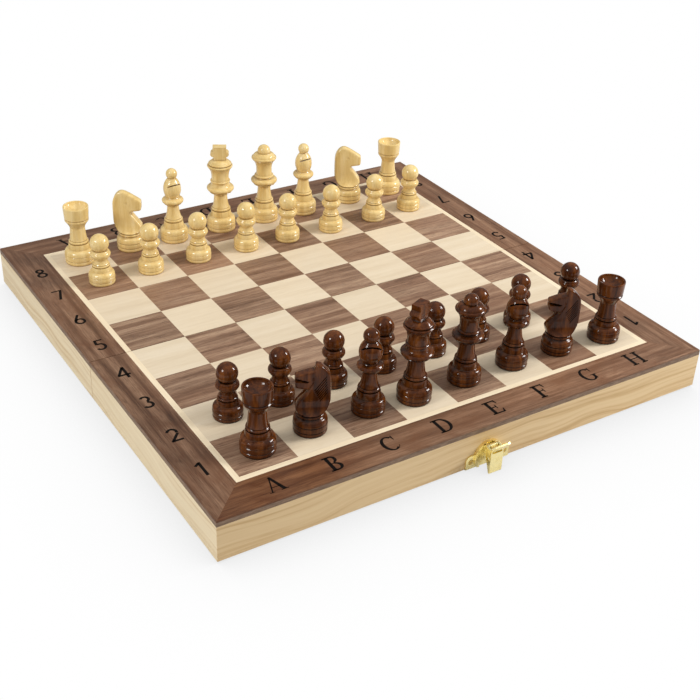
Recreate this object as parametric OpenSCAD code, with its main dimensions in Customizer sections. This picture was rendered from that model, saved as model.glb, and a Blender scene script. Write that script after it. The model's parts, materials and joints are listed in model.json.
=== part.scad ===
// A chess box that folds in the middle. It lies open and flat, rims down, so that the outsides
// of its two halves make the chess board. The halves are two equal trays with hinges at the
// fold, a clasp on the near end wall and a catch on the far end wall. The men stand on it.
// X runs from file a to file h, Y from rank 1 to rank 8, Z up. The origin is on the table,
// under the middle of the fold. All sizes are in millimetres.

/* [Board] */
// Side of one square of the playing field
square = 30.5; // [26:0.5:45]
// Width of the light strip round the playing field
strip_w = 3; // [1.5:0.5:8]
// Width of the border outside the strip
border_w = 20; // [12:1:40]
// Thickness of the veneer
veneer_t = 0.6; // [0.4:0.1:1.5]

/* [Box] */
// Height of one half from its rim to the playing face
half_h = 22.4; // [21:0.2:45]
// Thickness of the wooden walls
wall_t = 7; // [6.5:0.5:12]
// Thickness of the plywood panel under the veneer
ply_t = 2.4; // [1.6:0.2:6]
// Thickness of the felt lining on the inside of each panel
felt_t = 1; // [0.4:0.1:3]
// Gap between the lining and the walls
felt_gap = 0.5; // [0.2:0.1:2]
// Gap between the halves along the fold
fold_gap = 0.4; // [0.2:0.1:1]
// Half of the gap that is left between the rims when the box is shut
rim_gap = 0.1; // [0.05:0.05:0.5]

/* [Hinges] */
// Distance of each hinge from the middle of the fold
hinge_x = 85; // [30:1:110]
// Length of each hinge
hinge_l = 30; // [24:1:50]
// Number of knuckles on each hinge
knuckles = 5; // [3:2:7]
// Radius of the knuckles
knuckle_r = 1.2; // [1:0.1:2]
// Gap between neighbouring knuckles, and round them in the wood
knuckle_gap = 0.25; // [0.15:0.05:0.5]
// Radius of the hinge pins
hinge_pin_r = 0.6; // [0.4:0.05:0.7]
// Radial clearance of a pin in what turns on it
pin_play = 0.06; // [0.02:0.01:0.1]
// Width of each hinge leaf, from the fold line
leaf_w = 6; // [5:0.1:6.2]
// Thickness of each hinge leaf
leaf_t = 0.8; // [0.6:0.1:1.2]
// Distance of the leaf's two screws from the middle of the hinge
leaf_screw_x = 10.5; // [6:0.5:10.5]
// Distance of the leaf's screws from the fold line
leaf_screw_y = 3.9; // [3.4:0.1:4.2]

/* [Screws] */
// Radius of the screw heads
head_r = 1.6; // [1.2:0.1:1.7]
// Radius of the screw shanks
shank_r = 0.75; // [0.5:0.05:0.9]
// Length of the screws
screw_l = 5; // [3:0.5:6]
// Width of the slot in the screw heads
slot_w = 0.4; // [0.3:0.1:0.6]
// Depth of the slot in the screw heads
slot_d = 0.3; // [0.2:0.1:0.5]

/* [Clasp] */
// Place of the clasp to the right of the middle
clasp_x = 2.2; // [-30:0.2:30]
// Thickness of the clasp's base plate
plate_t = 0.8; // [0.6:0.1:1.2]
// Distance of the base plate's screws from its middle
ear_screw_x = 10.3; // [9.5:0.1:14]
// Height of the base plate's screws above the rim
ear_screw_z = 4; // [2.5:0.1:5]
// Width of plate left outside each screw of the base plate
ear_edge = 2.9; // [2.2:0.1:5]
// Height of the base plate's two ears
ear_h = 7.6; // [6:0.2:9]
// Radius of the arch of the base plate
arch_r = 8.5; // [7:0.1:9]
// Height of the middle of the arch above the rim
arch_z = 5.3; // [4:0.1:8]
// Width of the raised edge of the arch
bead_w = 1.2; // [0.8:0.1:2]
// Height of the raised edge of the arch
bead_t = 0.8; // [0.2:0.1:0.8]
// Distance of the clasp's pin from the wall
pivot_out = 3.2; // [3.2:0.1:4]
// Height of the clasp's pin above the rim
pivot_z = 12; // [11:0.1:12.5]
// Radius of the clasp's pin
clasp_pin_r = 0.6; // [0.4:0.05:0.7]
// Radius of the barrel and lugs round the pin
barrel_r = 1.3; // [1.1:0.05:1.3]
// Width of the barrel between the lugs
barrel_w = 3.6; // [3:0.2:5]
// Thickness of each lug of the base plate
lug_t = 0.8; // [0.6:0.1:1]
// Thickness of the tongue's sheet
sheet_t = 0.8; // [0.6:0.1:1]
// Side clearance between the tongue and the lugs
side_play = 0.2; // [0.1:0.05:0.4]
// Distance of the tongue's front from the wall
front_out = 7.6; // [7.5:0.1:11]
// Height of the tongue's lower edge above the table
front_low = 0.35; // [0.2:0.05:1]
// Height of the slot between the tongue's front and its lip
slot_h = 1.1; // [0.6:0.1:2]
// Length of the flared finger lip
lip_l = 6.2; // [5:0.1:8]
// Width of the finger lip near its tip
lip_w = 11.6; // [9:0.1:14]
// Lean of the finger lip away from the wall, in degrees
lip_lean = 33; // [10:1:40]
// Radius of the hole in each cheek of the tongue
cheek_hole_r = 1.1; // [0.6:0.1:1.1]

/* [Catch] */
// Thickness of the catch plate
catch_t = 0.7; // [0.5:0.1:0.7]
// Width of the catch plate
catch_w = 19; // [16:0.5:26]
// Height of the catch plate
catch_h = 8; // [7:0.5:10]
// Width of the nose that the tongue grips
nose_w = 6; // [4:0.5:6]
// Reach of the nose from the wall
nose_out = 1.35; // [1:0.05:1.4]
// Thickness of the nose
nose_t = 0.7; // [0.4:0.1:0.8]

/* [Men] */
// How far the men stand off the middles of their squares, as a share of the set-up seen
off_middle = 1; // [0:0.1:1]
// Height of a king
king_h = 54.4; // [46:0.5:80]
// Radius of a king's foot
king_foot_r = 9; // [7.5:0.1:11]
// Turn of the light king's finial, in degrees
light_king_turn = -28; // [-90:1:90]
// Turn of the dark king's finial, in degrees
dark_king_turn = 24; // [-90:1:90]
// Thickness of a king's finial
finial_t = 5.2; // [3:0.1:6]
// Width of a king's finial across its wings
finial_w = 11.4; // [8:0.1:13]
// Height of a queen
queen_h = 50; // [44:0.5:75]
// Radius of a queen's foot
queen_foot_r = 8.8; // [7.5:0.1:11]
// Height of a bishop
bishop_h = 46.3; // [40:0.5:70]
// Radius of a bishop's foot
bishop_foot_r = 8.6; // [7.2:0.1:11]
// Width of the cut in a bishop's mitre
mitre_cut = 0.8; // [0.5:0.1:1.2]
// Radius of the light bishops' mitres
light_mitre_r = 5.3; // [4.4:0.1:6.2]
// Radius of the light bishops' balls
light_mitre_ball_r = 3.4; // [3:0.1:4]
// Radius of the dark bishops' mitres
dark_mitre_r = 5.8; // [4.4:0.1:6.2]
// Radius of the dark bishops' balls
dark_mitre_ball_r = 4; // [3:0.1:4]
// Turn of the cut in the light bishops' mitres, in degrees
light_mitre_turn = -85; // [-180:1:180]
// Slope of the cut in the light bishops' mitres, in degrees
light_mitre_slope = 32; // [20:1:55]
// Turn of the cut in the dark bishops' mitres, in degrees
dark_mitre_turn = -118; // [-180:1:180]
// Slope of the cut in the dark bishops' mitres, in degrees
dark_mitre_slope = 50; // [20:1:55]
// Turn of the dark knights' heads away from the player's left, clockwise, in degrees
dark_knight_turn = 26; // [-45:1:45]
// Turn of the light knights' heads away from the player's left, clockwise, in degrees
light_knight_turn = 30; // [-45:1:45]
// Height of a knight
knight_h = 37.2; // [33:0.1:55]
// Radius of a knight's foot
knight_foot_r = 8.5; // [7.5:0.1:11]
// Length of a knight's head from mane to muzzle
knight_reach = 16; // [13:0.5:18]
// Thickness of a knight's head
knight_t = 6.8; // [5:0.2:9]
// Height of a rook
rook_h = 35.4; // [31:0.1:55]
// Radius of a rook's foot
rook_foot_r = 8.8; // [7.5:0.1:11]
// Depth of the hollow in a rook's top
rook_hollow = 4; // [2:0.5:6]
// Height of a pawn
pawn_h = 30; // [26:0.5:45]
// Radius of a pawn's foot
pawn_foot_r = 7.6; // [6.5:0.1:10]
// Radius of a pawn's ball
pawn_ball_r = 5.4; // [4.5:0.1:6]

/* [Hidden] */
$fn = 48;
near = -1;
far = 1;
axis_z = knuckle_r;
rim_z = axis_z + rim_gap;
top_z = rim_z + half_h;
veneer_z = top_z - veneer_t;
panel_z = veneer_z - ply_t;
field = 4 * square;
strip_out = field + strip_w;
half_w = strip_out + border_w;
fold_y = fold_gap / 2;
hole_spare = 1;

// the angle by which the tongue swings in from its rest place until it grips the catch
pivot_up = rim_z + pivot_z;
reach_out = front_out - sheet_t - pivot_out;
reach_down = pivot_up - front_low;
grip_out = catch_t + 0.3 - pivot_out;
shut_angle = atan2(reach_out, reach_down) - asin(grip_out / norm([reach_out, reach_down]));
lug_x = barrel_w / 2 + side_play;
cheek_x = lug_x + lug_t + side_play;

FILES = ["a", "b", "c", "d", "e", "f", "g", "h"];
BACK_ROW = ["rook", "knight", "bishop", "king", "queen", "bishop", "knight", "rook"];
// each man is [name, kind, file, rank, is it dark]
// how far each man stands off the middle of its square, in hundredths of a square:
// the row of pieces, then the row of pawns, from file a to file h
DARK_PLACES = [[[6, -3], [2, 4], [10, 5], [-6, -3], [-1, 2], [1, 3], [0, 1], [2, -7]],
    [[7, -1], [0, -2], [2, 1], [-1, 0], [3, 0], [0, 3], [-3, 8], [6, 1]]];
LIGHT_PLACES = [[[-5, 5], [4, 12], [-5, 7], [1, 8], [0, 6], [-10, 0], [6, 5], [7, 4]],
    [[0, 5], [-1, 4], [0, 5], [4, 3], [-3, 1], [-3, -3], [5, 1], [-1, 8]]];
MEN = [for (dark = [true, false], row = [0, 1], file = [0 : 7])
    let(kind = row == 0 ? BACK_ROW[file] : "pawn", rank = dark ? row : 7 - row)
    [str(dark ? "dark_" : "light_", kind, "_", FILES[file]), kind, file, rank, dark,
        (dark ? DARK_PLACES : LIGHT_PLACES)[row][file]]];

DARK_WOOD = [0.47, 0.34, 0.27];
BORDER_WOOD = [0.49, 0.37, 0.31];
LIGHT_WOOD = [0.92, 0.84, 0.70];
PINE = [0.85, 0.73, 0.56];
FELT = [0.10, 0.25, 0.16];
BRASS = [0.85, 0.72, 0.40];
DARK_MAN = [0.28, 0.15, 0.09];
LIGHT_MAN = [0.88, 0.75, 0.50];

// ---- the box ----

// puts what is drawn at positive Y on the side of the fold that is named
module on_side(side) {
    if (side == near) mirror([0, 1, 0]) children();
    else children();
}

module slab(x0, x1, y0, y1, z0, z1) {
    translate([x0, y0, z0]) cube([x1 - x0, y1 - y0, z1 - z0]);
}

module prism(points, z0, z1) {
    translate([0, 0, z0]) linear_extrude(z1 - z0) polygon(points);
}

// a curve from a to b that is drawn towards m
function bow(a, m, b, n = 6) =
    [for (i = [0 : n]) let(t = i / n) (1 - t) * (1 - t) * a + 2 * t * (1 - t) * m + t * t * b];

// an outline that is the same on both sides of the middle, from the points of its right side
function mirrored(points) =
    concat(points, [for (k = [len(points) - 1 : -1 : 0]) [-points[k][0], points[k][1]]]);

// places two copies, one at each hinge
module at_hinges() {
    for (x = [-hinge_x, hinge_x]) translate([x, 0, 0]) children();
}

module end_wall(side) {
    inner = half_w - wall_t;
    color(PINE) difference() {
        on_side(side)
            prism([[-half_w, half_w], [half_w, half_w], [inner, inner], [-inner, inner]], rim_z, panel_z);
        if (side == near) clasp_screws() screw_body();
        else catch_screws() screw_body();
    }
}

module hinge_wall(side) {
    inner = half_w - wall_t;
    inner_y = fold_y + wall_t;
    color(PINE) on_side(side) difference() {
        prism([[-half_w, fold_y], [half_w, fold_y], [inner, inner_y], [-inner, inner_y]], rim_z, panel_z);
        at_hinges() {
            slab(-hinge_l / 2, hinge_l / 2, 0, leaf_w, rim_z - hole_spare, rim_z + leaf_t);
            translate([-hinge_l / 2, 0, axis_z]) rotate([0, 90, 0])
                cylinder(h = hinge_l, r = knuckle_r + knuckle_gap);
        }
        leaf_screws() screw_body();
    }
}

module side_walls(side) {
    inner = half_w - wall_t;
    color(PINE) on_side(side) for (turn = [0, 1]) mirror([turn, 0, 0])
        prism([[-half_w, fold_y], [-half_w, half_w], [-inner, inner], [-inner, fold_y + wall_t]],
            rim_z, panel_z);
}

module panel(side) {
    color(PINE) on_side(side) slab(-half_w, half_w, fold_y, half_w, panel_z, veneer_z);
}

// a flat band of veneer round three sides of a field, in three pieces with mitred corners
module band(side, inner, w) {
    outer = inner + w;
    on_side(side) {
        for (turn = [0, 1]) mirror([turn, 0, 0])
            prism([[-outer, fold_y], [-outer, outer], [-inner, inner], [-inner, fold_y]], veneer_z, top_z);
        prism([[-outer, outer], [outer, outer], [inner, inner], [-inner, inner]], veneer_z, top_z);
    }
}

module border(side) {
    color(BORDER_WOOD) band(side, strip_out, border_w);
}

module strip(side) {
    color(LIGHT_WOOD) band(side, field, strip_w);
}

// the squares of one colour on one half; row 0 lies at the fold
module squares(side, dark) {
    color(dark ? DARK_WOOD : LIGHT_WOOD)
        for (file = [0 : 7], row = [0 : 3]) {
            rank = side == near ? 3 - row : 4 + row;
            if (((file + rank) % 2 == 0) == dark) on_side(side)
                slab(file * square - field, (file + 1) * square - field,
                    max(row * square, fold_y), (row + 1) * square, veneer_z, top_z);
        }
}

module lining(side) {
    x = half_w - wall_t - felt_gap;
    color(FELT) on_side(side)
        slab(-x, x, fold_y + wall_t + felt_gap, x, panel_z - felt_t, panel_z);
}

// ---- screws ----

// a screw or its hole, with its head's face at z = 0 and its point up
module screw_body() {
    cylinder(h = head_r - shank_r, r1 = head_r, r2 = shank_r);
    cylinder(h = screw_l - shank_r, r = shank_r);
    translate([0, 0, screw_l - shank_r]) cylinder(h = shank_r, r1 = shank_r, r2 = 0);
}

module screw() {
    difference() {
        screw_body();
        translate([-head_r - hole_spare, -slot_w / 2, -hole_spare])
            cube([2 * (head_r + hole_spare), slot_w, slot_d + hole_spare]);
    }
}

module leaf_screws() {
    at_hinges() for (x = [-leaf_screw_x, leaf_screw_x])
        translate([x, leaf_screw_y, rim_z]) rotate([0, 0, x + leaf_screw_y]) children();
}

module clasp_screws() {
    for (x = [-ear_screw_x, ear_screw_x])
        translate([clasp_x + x, -half_w - plate_t, rim_z + ear_screw_z])
            rotate([-90, 0, 0]) rotate([0, 0, 30]) children();
}

module catch_screws() {
    for (x = [-1, 1])
        translate([clasp_x + x * (catch_w / 2 - head_r - 1.2), half_w + catch_t, rim_z + catch_h / 2])
            rotate([90, 0, 0]) rotate([0, 0, 30]) children();
}

module near_screws() {
    color(BRASS) {
        on_side(near) leaf_screws() screw();
        clasp_screws() screw();
    }
}

module far_screws() {
    color(BRASS) {
        leaf_screws() screw();
        catch_screws() screw();
    }
}

// ---- the hinges ----

// the knuckles with the given first number, every second one, made fatter by spare
module knuckle_row(first, spare) {
    pitch = hinge_l / knuckles;
    for (k = [first : 2 : knuckles - 1]) {
        x0 = k * pitch - hinge_l / 2 + (k > 0 ? knuckle_gap / 2 : 0);
        x1 = (k + 1) * pitch - hinge_l / 2 - (k < knuckles - 1 ? knuckle_gap / 2 : 0);
        translate([x0 - spare, 0, axis_z]) rotate([0, 90, 0])
            cylinder(h = x1 - x0 + 2 * spare, r = knuckle_r + spare);
    }
}

// both leaves on one side of the fold
module hinge_leaves(side) {
    first = side == near ? 0 : 1;
    bore = hinge_pin_r + (side == near ? 0 : pin_play);
    color(BRASS) on_side(side) difference() {
        at_hinges() difference() {
            union() {
                slab(-hinge_l / 2, hinge_l / 2, 0, leaf_w, rim_z, rim_z + leaf_t);
                knuckle_row(first, 0);
            }
            knuckle_row(1 - first, knuckle_gap);
            translate([-hinge_l / 2 - hole_spare, 0, axis_z]) rotate([0, 90, 0])
                cylinder(h = hinge_l + 2 * hole_spare, r = bore);
        }
        leaf_screws() screw_body();
    }
}

module hinge_pins() {
    color(BRASS) at_hinges() translate([-hinge_l / 2, 0, axis_z]) rotate([0, 90, 0])
        cylinder(h = hinge_l, r = hinge_pin_r);
}

// ---- the clasp ----

// moves what is drawn to the clasp's place: x along the wall, y from the wall (out is negative),
// z above the rim
module at_clasp() {
    translate([clasp_x, -half_w, rim_z]) children();
}

// turns an outline of [distance from the wall, height above the rim] into a plate of
// that section, from x0 to x1
module section(x0, x1) {
    translate([x0, 0, 0]) rotate([90, 0, 90]) linear_extrude(x1 - x0) mirror([1, 0]) children();
}

// draws on the outline at both cheeks or lugs, which start at x and are t thick
module both_sides(x, t) {
    section(x, x + t) children();
    section(-x - t, -x) children();
}

module at_pivot() {
    translate([pivot_out, pivot_z]) children();
}

// a rod or hole along the clasp's pin
module pivot_rod(x, r) {
    translate([-x, -pivot_out, pivot_z]) rotate([0, 90, 0]) cylinder(h = 2 * x, r = r);
}

module clasp_outline() {
    ear_x = ear_screw_x + ear_edge;
    translate([0, arch_z]) circle(arch_r);
    for (x = [-1, 1]) translate([x * (ear_x - ear_edge), ear_h - ear_edge]) circle(ear_edge);
    translate([-ear_x, 0]) square([2 * ear_x, ear_h - ear_edge]);
    translate([-ear_screw_x, 0]) square([2 * ear_screw_x, ear_h]);
}

module clasp_plate() {
    color(BRASS) difference() {
        at_clasp() {
            // plate
            rotate([90, 0, 0]) linear_extrude(plate_t) intersection() {
                clasp_outline();
                translate([-half_w, 0]) square([2 * half_w, half_h]);
            }
            // raised edge of the arch, above the ears
            rotate([90, 0, 0]) linear_extrude(plate_t + bead_t) intersection() {
                difference() {
                    translate([0, arch_z]) circle(arch_r);
                    translate([0, arch_z]) circle(arch_r - bead_w);
                }
                translate([-arch_r, 0]) square([2 * arch_r, half_h]);
            }
            // lugs that hold the pin
            difference() {
                both_sides(lug_x, lug_t) {
                    at_pivot() circle(barrel_r);
                    translate([plate_t / 2, pivot_z - barrel_r])
                        square([pivot_out - plate_t / 2, 2 * barrel_r]);
                }
                pivot_rod(cheek_x, clasp_pin_r);
            }
        }
        clasp_screws() screw_body();
    }
}

module clasp_pin() {
    color(BRASS) at_clasp() pivot_rod(cheek_x + sheet_t, clasp_pin_r);
}

module clasp_tongue() {
    low = front_low - rim_z;
    strap_z = pivot_z - sheet_t / 2;
    front_top = strap_z - slot_h;
    wide = cheek_x + sheet_t;
    color(BRASS) at_clasp() difference() {
        union() {
            section(-barrel_w / 2, barrel_w / 2) {
                at_pivot() circle(barrel_r);
                translate([pivot_out, strap_z]) square([front_out - pivot_out, sheet_t]);
            }
            // the bar of the strap that carries the lip
            section(-wide, wide)
                translate([front_out - 2 * sheet_t, strap_z]) square([2 * sheet_t, sheet_t]);
            // front
            section(-wide, wide)
                translate([front_out - sheet_t, low]) square([sheet_t, front_top - low]);
            // cheeks
            both_sides(cheek_x, sheet_t) difference() {
                union() {
                    at_pivot() circle(barrel_r);
                    polygon([[pivot_out, pivot_z + barrel_r], [front_out, strap_z + sheet_t],
                        [front_out, low], [front_out - sheet_t, low],
                        [pivot_out - barrel_r * cos(5), pivot_z - barrel_r * sin(5)]]);
                }
                translate([(pivot_out + front_out) / 2 + 0.25, pivot_z / 2 + 0.6]) circle(cheek_hole_r);
            }
            // finger lip
            translate([0, -front_out + sheet_t, strap_z]) rotate([90 + lip_lean, 0, 0])
                linear_extrude(sheet_t) polygon(mirrored(concat(
                    [[wide - 0.3, 0.1]],
                    bow([wide - 0.2, 0.7], [wide + 0.2, lip_l * 0.35], [lip_w * 0.46, lip_l * 0.55], 4),
                    bow([lip_w * 0.48, lip_l * 0.62], [lip_w * 0.56, lip_l], [lip_w * 0.34, lip_l], 5))));
        }
        pivot_rod(wide + hole_spare, clasp_pin_r + pin_play);
    }
}

module catch_plate() {
    color(BRASS) difference() {
        translate([clasp_x, half_w, rim_z]) {
            slab(-catch_w / 2, catch_w / 2, 0, catch_t, 0, catch_h);
            slab(-nose_w / 2, nose_w / 2, 0, nose_out, rim_gap / 2, rim_gap / 2 + nose_t);
        }
        catch_screws() screw_body();
    }
}

// ---- the men ----

// a half-round bead of radius s whose outermost point is at radius r
function bead(r, z, s, n = 6) =
    [for (i = [0 : n]) let(a = -90 + 180 * i / n) [r - s + s * cos(a), z + s * sin(a)]];

// the turned foot and belly that the men share, up to the top of a small bead at the shoulder
function belly(foot_r, shoulder_z) =
    let(ring = shoulder_z * 0.062)
    concat([[0, 0], [foot_r * 0.94, 0]],
        bow([foot_r * 0.965, foot_r * 0.03], [foot_r, foot_r * 0.1], [foot_r * 0.975, foot_r * 0.25], 4),
        [[foot_r * 0.945, foot_r * 0.28]],
        bow([foot_r * 0.98, foot_r * 0.31], [foot_r * 1.01, foot_r * 0.44], [foot_r * 0.99, foot_r * 0.59], 4),
        [[foot_r * 0.965, foot_r * 0.62]],
        bow([foot_r * 0.985, foot_r * 0.65], [foot_r * 0.985, foot_r * 0.93],
            [foot_r * 0.76, foot_r * 0.99], 7),
        bow([foot_r * 0.715, foot_r * 1.02], [foot_r * 0.7, (foot_r + shoulder_z) * 0.5],
            [foot_r * 0.66, shoulder_z - 2.2 * ring], 4),
        bead(foot_r * 0.655, shoulder_z - ring, ring));

// the hollow sweep from the shoulder up to the neck
function sweep(shoulder_r, shoulder_z, neck_r, neck_z) =
    bow([shoulder_r * 0.88, shoulder_z + 0.2],
        [neck_r * 1.06, shoulder_z + (neck_z - shoulder_z) * 0.35], [neck_r, neck_z]);

module turned(points) {
    rotate_extrude() polygon(concat(points, [[0, points[len(points) - 1][1]]]));
}

// the stem and the double collar that king and queen share, up to the ring over the collar
function collared(foot_r, shoulder_z, collar_z, ring_z) =
    let(neck_z = shoulder_z + (collar_z - shoulder_z) * 0.7)
    concat(
        belly(foot_r, shoulder_z),
        sweep(foot_r * 0.65, shoulder_z, foot_r * 0.44, neck_z),
        bow([foot_r * 0.48, neck_z + 0.4], [foot_r * 0.74, neck_z + 0.6], [foot_r * 0.79, collar_z - 2.1], 4),
        [[foot_r * 0.75, collar_z - 1.6]],
        bead(foot_r * 0.93, collar_z - 0.2, foot_r * 0.14),
        bow([foot_r * 0.74, collar_z + 1.2], [foot_r * 0.6, collar_z + 1.5], [foot_r * 0.58, ring_z - 0.8], 4),
        bead(foot_r * 0.68, ring_z, foot_r * 0.08));

module king(turn) {
    foot_r = king_foot_r;
    finial_h = king_h * 0.155;
    crown_z = king_h - finial_h;
    ring_z = crown_z * 0.7;
    rim = crown_z * 0.915;
    turned(concat(
        collared(foot_r, crown_z * 0.322, crown_z * 0.6, ring_z),
        bow([foot_r * 0.6, ring_z + 0.8], [foot_r * 0.55, ring_z + (rim - ring_z) * 0.62],
            [foot_r * 0.8, rim - 1.1], 6),
        bead(foot_r * 0.87, rim, foot_r * 0.08),
        bead(foot_r * 0.79, rim + 1.4, foot_r * 0.07),
        bow([foot_r * 0.7, rim + 2.1], [foot_r * 0.56, crown_z], [foot_r * 0.34, crown_z], 4)));
    sink = 1;
    wing_z = king_h - finial_h * 0.55;
    rotate([0, 0, turn]) rotate([90, 0, 0]) linear_extrude(finial_t, center = true)
        polygon(mirrored(concat(
            [[finial_w * 0.28, crown_z - sink]],
            bow([finial_w * 0.31, wing_z - finial_h * 0.24], [finial_w * 0.66, wing_z],
                [finial_w * 0.35, wing_z + finial_h * 0.22], 6),
            [[finial_w * 0.36, king_h]])));
}

module queen() {
    foot_r = queen_foot_r;
    ball_r = foot_r * 0.45;
    crown_z = queen_h - ball_r * 1.4;
    ring_z = crown_z * 0.675;
    rim = crown_z * 0.94;
    turned(concat(
        collared(foot_r, crown_z * 0.326, crown_z * 0.61, ring_z),
        bow([foot_r * 0.57, ring_z + 0.8], [foot_r * 0.46, crown_z * 0.85], [foot_r * 0.8, rim - 1.2], 7),
        bead(foot_r * 0.88, rim, foot_r * 0.1),
        bow([foot_r * 0.78, rim + 0.9], [foot_r * 0.72, crown_z + 0.2], [foot_r * 0.36, crown_z + 0.7], 6)));
    translate([0, 0, queen_h - ball_r]) sphere(ball_r);
}

module bishop(turn, slope, mitre_r, ball_r) {
    foot_r = bishop_foot_r;
    mitre_top = bishop_h * 0.873;
    shoulder_z = mitre_top * 0.36;
    neck_z = mitre_top * 0.57;
    collar_z = mitre_top * 0.642;
    mitre_low = mitre_top * 0.695;
    up = mitre_top - mitre_low;
    difference() {
        union() {
            turned(concat(
                belly(foot_r, shoulder_z),
                sweep(foot_r * 0.66, shoulder_z, foot_r * 0.4, neck_z),
                bow([foot_r * 0.44, neck_z + 0.3], [foot_r * 0.6, neck_z + 0.5],
                    [foot_r * 0.64, collar_z - 1.6], 4),
                bead(foot_r * 0.76, collar_z, foot_r * 0.16),
                [[foot_r * 0.48, mitre_low - 0.4], [foot_r * 0.45, mitre_low]],
                bow([foot_r * 0.46, mitre_low + 0.3], [mitre_r * 1.03, mitre_low + up * 0.24],
                    [mitre_r, mitre_low + up * 0.46], 5),
                bow([mitre_r * 0.99, mitre_low + up * 0.52], [mitre_r * 0.94, mitre_low + up * 0.77],
                    [foot_r * 0.28, mitre_top], 6)));
            translate([0, 0, bishop_h - ball_r]) sphere(ball_r);
        }
        rotate([0, 0, turn]) translate([mitre_r * 0.42, 0, mitre_low + up * 0.62]) rotate([0, -slope, 0])
            translate([0, -foot_r, -mitre_cut / 2]) cube([2 * foot_r, 2 * foot_r, mitre_cut]);
    }
}

// the head in profile, muzzle towards positive x: shares of its length and of its height
KNIGHT_PROFILE = [[-0.51, 0], [-0.575, 0.11], [-0.59, 0.3], [-0.595, 0.52], [-0.58, 0.685], [-0.545, 0.805],
    [-0.43, 0.9], [-0.3, 0.973], [-0.19, 1], [-0.138, 0.996], [-0.12, 0.953], [-0.113, 0.885],
    [-0.075, 0.857], [0.206, 0.817], [0.4375, 0.77], [0.475, 0.745], [0.48, 0.665], [0.4625, 0.555],
    [0.43, 0.53], [0.35, 0.52], [0.125, 0.504], [0.08, 0.488], [0.075, 0.468], [0.1, 0.43], [0.17, 0.38],
    [0.295, 0.277], [0.41, 0.184], [0.4625, 0.117], [0.475, 0.047], [0.45, 0]];

module knight(way, turn) {
    foot_r = knight_foot_r;
    base_h = knight_h * 0.312;
    head_h = knight_h - base_h;
    flank = concat(
        bow([foot_r * 0.82, 0], [knight_t * 0.6, head_h * 0.06], [knight_t / 2, head_h * 0.32], 6),
        bow([knight_t / 2, head_h * 0.4], [knight_t / 2, head_h * 0.85], [knight_t * 0.36, head_h], 5));
    turned(concat([[0, 0], [foot_r * 0.94, 0]],
        bow([foot_r * 0.965, base_h * 0.025], [foot_r, base_h * 0.08], [foot_r * 0.975, base_h * 0.18], 4),
        [[foot_r * 0.945, base_h * 0.205]],
        bow([foot_r * 0.98, base_h * 0.225], [foot_r * 1.01, base_h * 0.33], [foot_r * 0.99, base_h * 0.43], 4),
        [[foot_r * 0.965, base_h * 0.455]],
        bow([foot_r * 0.985, base_h * 0.48], [foot_r * 0.985, base_h * 0.69],
            [foot_r * 0.82, base_h * 0.745], 7),
        [[foot_r * 0.76, base_h * 0.78]],
        bead(foot_r * 0.83, base_h * 0.88, base_h * 0.07),
        [[foot_r * 0.76, base_h * 0.975], [foot_r * 0.78, base_h]]));
    translate([0, 0, base_h]) rotate([0, 0, -turn]) mirror([way < 0 ? 1 : 0, 0, 0]) intersection() {
        rotate([90, 0, 0]) linear_extrude(4 * foot_r, center = true)
            polygon([for (p = KNIGHT_PROFILE) [p[0] * knight_reach, p[1] * head_h]]);
        rotate([90, 0, 90]) linear_extrude(4 * foot_r, center = true)
            polygon(mirrored(flank));
        rotate_extrude() polygon([[0, 0], [foot_r * 0.82, 0], [knight_reach * 0.57, head_h * 0.13],
            [knight_reach * 0.602, head_h * 0.28], [knight_reach * 0.602, head_h], [0, head_h]]);
    }
}

module rook() {
    foot_r = rook_foot_r;
    shoulder_z = rook_h * 0.4;
    neck_z = rook_h * 0.63;
    cup_z = rook_h * 0.735;
    cup_r = foot_r * 0.84;
    groove_z = rook_h * 0.785;
    rotate_extrude() polygon(concat(
        belly(foot_r, shoulder_z),
        sweep(foot_r * 0.66, shoulder_z, foot_r * 0.49, neck_z),
        bow([foot_r * 0.51, neck_z + 0.3], [foot_r * 0.58, neck_z + 2], [cup_r * 0.88, cup_z], 5),
        [[cup_r * 0.93, cup_z + 0.5], [cup_r * 0.94, groove_z - 0.5], [cup_r * 0.87, groove_z],
            [cup_r * 0.945, groove_z + 0.5], [cup_r * 0.98, rook_h * 0.9], [cup_r, rook_h - 0.6],
            [cup_r * 0.98, rook_h - 0.1], [cup_r * 0.93, rook_h]],
        bow([cup_r * 0.88, rook_h - 0.2], [cup_r * 0.8, rook_h - rook_hollow], [0, rook_h - rook_hollow], 8)));
}

module pawn() {
    foot_r = pawn_foot_r;
    shoulder_z = pawn_h * 0.4;
    turned(concat(
        belly(foot_r, shoulder_z),
        bow([foot_r * 0.6, shoulder_z + 0.2], [foot_r * 0.52, shoulder_z + 0.9],
            [foot_r * 0.5, pawn_h * 0.49], 4),
        bow([foot_r * 0.52, pawn_h * 0.5], [foot_r * 0.63, pawn_h * 0.522],
            [foot_r * 0.72, pawn_h * 0.563], 4),
        bow([foot_r * 0.755, pawn_h * 0.578], [foot_r * 0.815, pawn_h * 0.615],
            [foot_r * 0.725, pawn_h * 0.646], 6),
        [[foot_r * 0.67, pawn_h * 0.65]],
        bow([foot_r * 0.66, pawn_h * 0.657], [foot_r * 0.62, pawn_h * 0.683],
            [foot_r * 0.45, pawn_h * 0.69], 4)));
    translate([0, 0, pawn_h - pawn_ball_r]) sphere(pawn_ball_r);
}

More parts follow.
